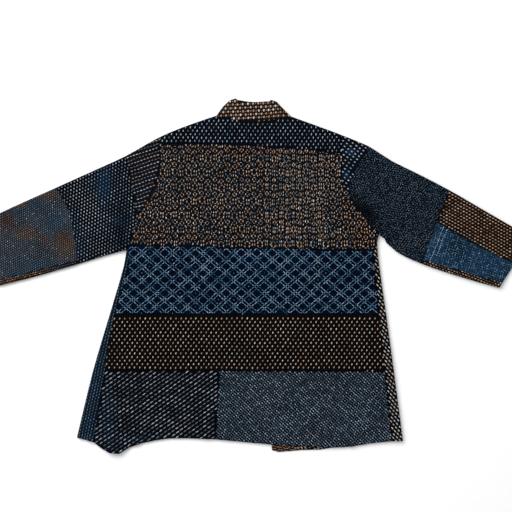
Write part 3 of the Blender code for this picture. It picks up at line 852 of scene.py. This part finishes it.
def stitch_tree() -> bpy.types.NodeTree:
    """Build the Geometry Nodes tree that grows a grain of thread on each point."""
    tree = bpy.data.node_groups.new("sewn_stitches", "GeometryNodeTree")
    for label, kind in (("Points", "NodeSocketGeometry"), ("Sides", "NodeSocketInt"),
                        ("Rings", "NodeSocketInt"), ("Thread", "NodeSocketMaterial")):
        tree.interface.new_socket(label, in_out="INPUT", socket_type=kind)
    tree.interface.new_socket("Stitches", in_out="OUTPUT", socket_type="NodeSocketGeometry")
    source = tree.nodes.new("NodeGroupInput")
    out = tree.nodes.new("NodeGroupOutput")
    grain = tree.nodes.new("GeometryNodeMeshUVSphere")
    grain.inputs["Radius"].default_value = 1.0
    link(tree, source.outputs["Sides"], grain.inputs["Segments"])
    link(tree, source.outputs["Rings"], grain.inputs["Rings"])
    lay = tree.nodes.new("GeometryNodeTransform")
    lay.inputs["Rotation"].default_value = (math.radians(45), math.radians(90), 0)
    link(tree, grain.outputs["Mesh"], lay.inputs["Geometry"])
    smooth = tree.nodes.new("GeometryNodeSetShadeSmooth")
    link(tree, lay.outputs["Geometry"], smooth.inputs["Geometry"])

    def stored(name: str) -> bpy.types.NodeSocket:
        """Read a vector stored on the points."""
        node = tree.nodes.new("GeometryNodeInputNamedAttribute")
        node.data_type = "FLOAT_VECTOR"
        node.inputs["Name"].default_value = name
        return node.outputs["Attribute"]

    along = tree.nodes.new("FunctionNodeAlignRotationToVector")
    along.axis = "X"
    link(tree, stored("aim"), along.inputs["Vector"])
    upright = tree.nodes.new("FunctionNodeAlignRotationToVector")
    upright.axis = "Z"
    upright.pivot_axis = "X"
    link(tree, along.outputs["Rotation"], upright.inputs["Rotation"])
    link(tree, stored("lift"), upright.inputs["Vector"])
    spread = tree.nodes.new("GeometryNodeInstanceOnPoints")
    link(tree, source.outputs["Points"], spread.inputs["Points"])
    link(tree, smooth.outputs["Geometry"], spread.inputs["Instance"])
    link(tree, upright.outputs["Rotation"], spread.inputs["Rotation"])
    link(tree, stored("reach"), spread.inputs["Scale"])
    real = tree.nodes.new("GeometryNodeRealizeInstances")
    link(tree, spread.outputs["Instances"], real.inputs["Geometry"])
    paint = tree.nodes.new("GeometryNodeSetMaterial")
    link(tree, real.outputs["Geometry"], paint.inputs["Geometry"])
    link(tree, source.outputs["Thread"], paint.inputs["Material"])
    link(tree, paint.outputs["Geometry"], out.inputs["Stitches"])
    return tree


@dataclass(frozen=True)
class ClothPiece:
    """One cut piece of the jacket: its solid, its finish, its sewing and its cut size."""

    node: str
    cotton: Cotton
    sewings: tuple[Sewing, ...]
    flat: tuple[float, float]
    area: float
    rests_on: tuple[str, ...] = ("floor",)
    hidden_thread: Colour = (0.20, 0.17, 0.14)


class Yarn(Enum):
    """The dyed cotton threads of the sewing."""

    TAN = (0.38, 0.25, 0.175)
    CREAM = (0.50, 0.42, 0.36)
    BROWN = (0.16, 0.085, 0.05)
    ORANGE = (0.30, 0.13, 0.065)
    GREY_WHITE = (0.34, 0.37, 0.41)
    GREY = (0.14, 0.16, 0.19)
    GREY_BLUE = (0.085, 0.12, 0.16)
    DEEP_BLUE = (0.02, 0.07, 0.15)
    LIGHT_BLUE = (0.11, 0.23, 0.37)
    PALE_BLUE = (0.27, 0.39, 0.49)


def blend(**shares: float) -> tuple[tuple[Colour, float], ...]:
    """Give the named threads their shares."""
    return tuple((Yarn[name.upper()].value, share) for name, share in shares.items())


def main_zones() -> tuple[Zone, ...]:
    """List the places of the main panel where the thread is brighter or duller."""
    return (Zone((250, 150), (70, 5), (0.45, 0.16, 0.08), 0.45),
            Zone((360, 232), (12, 20), (0.50, 0.24, 0.11), 0.6),
            Zone((316, 190), (26, 30), (0.46, 0.40, 0.36), 0.35),
            Zone((150, 236), (20, 9), (0.46, 0.24, 0.13), 0.4),
            Zone((206, 180), (22, 20), (0.20, 0.19, 0.19), 0.35))


def near_inner_seam(x: float, y: float) -> bool:
    """Say whether a point lies within the strip where the chambray's pale rows run."""
    return Zone((438, 242), (5, 26), (0, 0, 0), 1.0, -22).share(x, y) > 0.3


def rubbed_zones(light: float) -> tuple[Zone, ...]:
    """List the blue, rust and brown stains of the left lower sleeve, as light as asked."""
    blue, rust, brown = (0.045, 0.115, 0.20), (0.17, 0.085, 0.055), (0.24, 0.14, 0.085)
    stains = (((56, 222), (12, 14), blue), ((36, 206), (12, 8), blue), ((20, 212), (8, 5), blue),
              ((40, 264), (24, 6), blue), ((20, 274), (16, 5), blue), ((8, 222), (9, 10), rust),
              ((22, 205), (8, 4), brown), ((27, 234), (14, 7), brown), ((66, 246), (11, 13), brown),
              ((63, 238), (8, 8), rust), ((48, 196), (16, 5), brown), ((47, 240), (5, 5), rust))
    return tuple(Zone(pixel, radii, (colour[0] * light, colour[1] * light, colour[2] * light), 0.8)
                 for pixel, radii, colour in stains)


def jacket_pieces() -> tuple[ClothPiece, ...]:
    """List the pieces with their finishes and sewing."""
    on_fronts = ("cloth_front_left", "cloth_front_right")
    return (
        ClothPiece("front_left", Cotton("front_left_cloth", (0.0024, 0.0070, 0.0140)),
                   (Sewing(Rows(7.0, 6.0, 78, 4.8, 1.5), Thread(blend(grey_blue=3, light_blue=1))),),
                   (0.42, 0.72), 0.2286),
        ClothPiece("front_right", Cotton("front_right_cloth", (0.0022, 0.0020, 0.0022)),
                   (Sewing(Rows(8.8, 6.6, -48, 6.8, 2.4),
                           Thread(blend(grey_white=3, cream=2, tan=1)),
                           keep=lambda x, y: x > 0.1 or y > -0.3),
                    Sewing(Rows(7.0, 5.0, -10, 5.4, 2.2), Thread(blend(tan=1, brown=2, orange=2)),
                           keep=lambda x, y: x < 0.1 and y < -0.3)),
                   (0.35, 0.74), 0.1852),
        ClothPiece("collar", Cotton("collar_cloth", (0.0065, 0.0045, 0.0040)),
                   (Sewing(Rows(11.0, 7.6, 3, 5.8, 4.6, lean=90),
                           Thread(blend(tan=3, cream=2, orange=0.3))),
                    Sewing(Rows(11.0, 7.6, 3, 3.4, 1.8, lean=45, phase=0.5),
                           Thread(blend(tan=2, brown=1))),),
                   (0.32, 0.05), 0.0129, on_fronts),
        ClothPiece("back_yoke", Cotton("yoke_cloth", (0.0012, 0.0024, 0.0048)),
                   (Sewing(Rows(10.2, 7.3, 0, 4.8, 2.1, lean=84, loose=0.5),
                           Thread(blend(grey_white=3, pale_blue=1, grey=1.4))),),
                   (0.42, 0.07), 0.0215, on_fronts),
        ClothPiece("shoulder_patch_left", Cotton("shoulder_left_cloth", (0.0030, 0.0036, 0.0058)),
                   (Sewing(Rows(7.4, 15.4, 19, 5.6, 1.9, stagger=0.3),
                           Thread(blend(grey_white=2, tan=2.2, cream=0.6))),
                    Sewing(Rows(7.0, 15.4, 19, 5.6, 1.8, stagger=0.3, side=0.5),
                           Thread(blend(grey_blue=2, light_blue=1, grey=2, tan=0.7)))),
                   (0.09, 0.17), 0.0079, on_fronts),
        ClothPiece("shoulder_patch_right",
                   Cotton("shoulder_right_cloth", (0.0010, 0.0030, 0.0070),
                          zones=(Zone((351, 152), (5, 4), (0.005, 0.022, 0.060), 0.8),
                                 Zone((346, 175), (3, 4), (0.005, 0.022, 0.060), 0.8))),
                   (Sewing(Rows(9.6, 8.0, -34, 4.6, 2.8, lean=10, stagger=0.05),
                           Thread(blend(cream=1.4, grey_white=4))),),
                   (0.06, 0.13), 0.0042, on_fronts),
        ClothPiece("back_main", Cotton("main_cloth", (0.0028, 0.0032, 0.0044), mottle=0.4),
                   (Sewing(Persimmon(),
                           Thread(blend(tan=4, cream=1.4, grey_blue=1.2, grey=1.2),
                                  zones=main_zones())),),
                   (0.55, 0.235), 0.1014, on_fronts),
        ClothPiece("band_lattice", Cotton("lattice_cloth", (0.0004, 0.0024, 0.0082), mottle=0.5),
                   (Sewing(Lattice(), Thread(blend(light_blue=4, pale_blue=2, deep_blue=1.4))),),
                   (0.58, 0.15), 0.0811, on_fronts),
        ClothPiece("band_dots", Cotton("dots_cloth", (0.0022, 0.0016, 0.0016)),
                   (Sewing(Rows(11.2, 7.7, 0, 4.8, 2.5, lean=74),
                           Thread(blend(cream=3, tan=4),
                                  zones=(Zone((240, 352), (18, 14), (0.20, 0.20, 0.21), 0.5),
                                         Zone((110, 340), (9, 30), (0.19, 0.17, 0.17), 0.5)))),),
                   (0.62, 0.125), 0.0735, on_fronts),
        ClothPiece("back_lower_left",
                   Cotton("lower_left_cloth", (0.0010, 0.0015, 0.0030),
                          zones=(Zone((108, 420), (9, 40), (0.0012, 0.0050, 0.0120), 0.9),
                                 Zone((160, 440), (60, 6), (0.0012, 0.0050, 0.0120), 0.7))),
                   (Sewing(Rows(10.6, 7.9, 36, 9.4, 1.9, stagger=0.37),
                           Thread(blend(grey_white=3, grey=2.4, grey_blue=1.4))),),
                   (0.28, 0.185), 0.0414, on_fronts),
        ClothPiece("back_lower_right", Cotton("lower_right_cloth", (0.0012, 0.0034, 0.0075)),
                   (Sewing(Rows(5.8, 5.4, -44, 5.0, 1.5, stagger=0.4),
                           Thread(blend(grey_blue=2, grey=1.6, pale_blue=1.6, grey_white=0.7),
                                  spread=0.4)),
                    Sewing(Rows(5.4, 5.8, 46, 2.6, 1.4, phase=0.5),
                           Thread(blend(grey_blue=2.4, grey=0.8, deep_blue=1))),),
                   (0.39, 0.17), 0.0602, on_fronts),
        ClothPiece("sleeve_left_upper",
                   Cotton("sleeve_navy_cloth", (0.0009, 0.0022, 0.0046),
                          zones=(Zone((104, 184), (9, 20), (0.0020, 0.0100, 0.0260), 0.9),
                                 Zone((74, 238), (10, 22), (0.0012, 0.0060, 0.0150), 0.8, 20),
                                 Zone((118, 222), (9, 4), (0.0020, 0.0100, 0.0280), 0.7),
                                 # Painted shade in the fold at the armpit.
                                 Zone((122, 236), (8, 12), (0.0003, 0.0008, 0.0024), 0.9))),
                   (Sewing(Rows(7.2, 6.9, 24, 3.9, 2.5, lean=88),
                           Thread(blend(grey=3, grey_white=1, pale_blue=0.4),
                                  zones=(Zone((88, 206), (11, 34), (0.40, 0.43, 0.46), 0.8, 20),
                                         Zone((104, 184), (9, 22), (0.035, 0.085, 0.15), 0.85),
                                         # Painted shade: the thread darkened in the fold at the
                                         # armpit.
                                         Zone((121, 228), (10, 26), (0.03, 0.045, 0.07), 0.9),
                                         Zone((96, 247), (14, 6), (0.26, 0.28, 0.30), 0.6),
                                         Zone((72, 232), (6, 22), (0.06, 0.09, 0.13), 0.7, 14)))),),
                   (0.42, 0.17), 0.0533, ("floor",)),
        ClothPiece("sleeve_left_lower",
                   Cotton("sleeve_rubbed_cloth", (0.0095, 0.0125, 0.0170), mottle=0.45,
                          zones=rubbed_zones(0.10)),
                   (Sewing(Rows(4.8, 4.8, 24, 3.2, 1.8, lean=88, loose=0.5),
                           Thread(blend(grey=4, grey_blue=2, grey_white=0.3),
                                  zones=rubbed_zones(1.0))),),
                   (0.20, 0.20), 0.0313, ("cloth_sleeve_left_lower_front",)),
        ClothPiece("sleeve_left_lower_front",
                   Cotton("sleeve_front_cloth", (0.0040, 0.0030, 0.0025),
                          zones=(Zone((66, 264), (22, 12), (0.0016, 0.0040, 0.0080), 1.0),)),
                   (Sewing(Rows(5.6, 4.4, 14, 4.0, 1.8), Thread(blend(tan=1, brown=2, orange=1),
                           zones=(Zone((66, 264), (24, 14), (0.04, 0.06, 0.09), 1.0),))),),
                   (0.20, 0.20), 0.0334),
        ClothPiece("sleeve_right_upper",
                   Cotton("sleeve_slate_cloth", (0.0012, 0.0034, 0.0066),
                          # The first zone is painted shade along the fold at the armhole; the second
                          # darkens the cloth near the armpit.
                          zones=(Zone((365, 211), (21, 7), (0.0002, 0.0004, 0.0010), 1.0, -50),
                                 Zone((388, 236), (9, 6), (0.0006, 0.0014, 0.0028), 0.8))),
                   # In both sewings, the zone at pixel (365, 211) darkens the thread as painted
                   # shade along the armhole fold.
                   (Sewing(Rows(5.6, 4.8, 52, 2.9, 1.2, loose=1.8),
                           Thread(blend(grey_blue=3, grey=1.4),
                                  zones=(Zone((365, 211), (22, 8), (0.002, 0.003, 0.006), 1.0, -50),
                                         Zone((420, 185), (14, 10), (0.15, 0.17, 0.19), 0.4)))),
                    Sewing(Rows(6.6, 5.6, -20, 2.8, 1.2, loose=1.8),
                           Thread(blend(grey_blue=3, deep_blue=2, grey=0.7),
                                  zones=(Zone((365, 211), (22, 8), (0.002, 0.003, 0.006), 1.0,
                                              -50),)))),
                   (0.42, 0.20), 0.0619),
        ClothPiece("sleeve_right_lower_outer",
                   Cotton("sleeve_brown_cloth", (0.0055, 0.0026, 0.0016)),
                   (Sewing(Rows(7.3, 6.4, -30, 5.0, 2.5, lean=20),
                           Thread(blend(tan=4, cream=0.8, brown=1))),),
                   (0.20, 0.11), 0.0153, ("cloth_sleeve_right_lower_front",)),
        ClothPiece("sleeve_right_lower_inner",
                   Cotton("sleeve_chambray_cloth", (0.0040, 0.0145, 0.0310), mottle=0.9,
                          weave_depth=0.6),
                   (Sewing(Rows(6.2, 5.0, -20, 5.6, 1.0, loose=1.2),
                           Thread(blend(light_blue=2, deep_blue=3), spread=0.6)),
                    Sewing(Rows(6.2, 5.4, 72, 5.6, 1.0, loose=1.2),
                           Thread(blend(light_blue=2, deep_blue=3), spread=0.6)),
                    Sewing(Rows(5.0, 9.0, 68, 4.4, 1.3, loose=0.5), Thread(blend(pale_blue=1)),
                           keep=near_inner_seam)),
                   (0.19, 0.09), 0.0124, ("cloth_sleeve_right_lower_front",)),
        ClothPiece("sleeve_right_lower_front",
                   Cotton("sleeve_front_cloth", (0.0040, 0.0030, 0.0025)),
                   (Sewing(Rows(7.0, 5.0, -20, 4.8, 2.0), Thread(blend(tan=2, cream=1, brown=1))),),
                   (0.20, 0.20), 0.0304),
    )


@dataclass
class Jacket:
    """The whole jacket, dressed piece by piece."""

    nodes: dict[str, bpy.types.Object]
    maker: ShellMaker = field(default_factory=ShellMaker)

    def build(self) -> None:
        """Make the shells, then sew them, and report each piece."""
        dyer = Dyer(weave_group(), running_group())
        pieces = jacket_pieces()
        shells = {}
        for piece in pieces:
            shell = self.maker.make(self.nodes[piece.node], "cloth_" + piece.node, piece.cotton)
            shell.data.materials.append(dyer.cloth(piece.cotton, piece.hidden_thread))
            shells[piece.node] = shell
        layer = self.stitch_layer(shells, dyer.thread())
        for piece in pieces:
            self.dress(piece, shells[piece.node], layer)

    def stitch_layer(self, shells: dict[str, bpy.types.Object],
                     thread: bpy.types.Material) -> StitchLayer:
        """Gather the shells into one tree, so that a stitch finds the uppermost cloth."""
        points, faces, owners = [], [], []
        for shell in shells.values():
            start = len(points)
            points.extend(vert.co.copy() for vert in shell.data.vertices)
            for polygon in shell.data.polygons:
                faces.append([start + index for index in polygon.vertices])
                owners.append(shell.name)
        return StitchLayer(BVHTree.FromPolygons(points, faces), owners, stitch_tree(), thread)

    def dress(self, piece: ClothPiece, shell: bpy.types.Object, layer: StitchLayer) -> None:
        corners = [vert.co for vert in shell.data.vertices]
        low = Vector([min(c[axis] for c in corners) for axis in range(3)])
        high = Vector([max(c[axis] for c in corners) for axis in range(3)])
        stitches = layer.sew(shell.name, piece.sewings, low, high)
        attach(shell, BODY)
        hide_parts(piece.node)
        if stitches is not None:
            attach(stitches, BODY)
        list(piece.rests_on)
        count = len(stitches.data.polygons) if stitches else 0
        LOG.info("%s: %d cloth faces, %d thread faces", piece.node,
                 len(shell.data.polygons), count)


def main() -> None:
    """Build the scene around the frame."""
    logging.basicConfig(level=logging.INFO, format="%(message)s")
    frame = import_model()
    Studio().build()
    Jacket(frame["nodes"]).build()


if __name__ == "__main__":
    main()
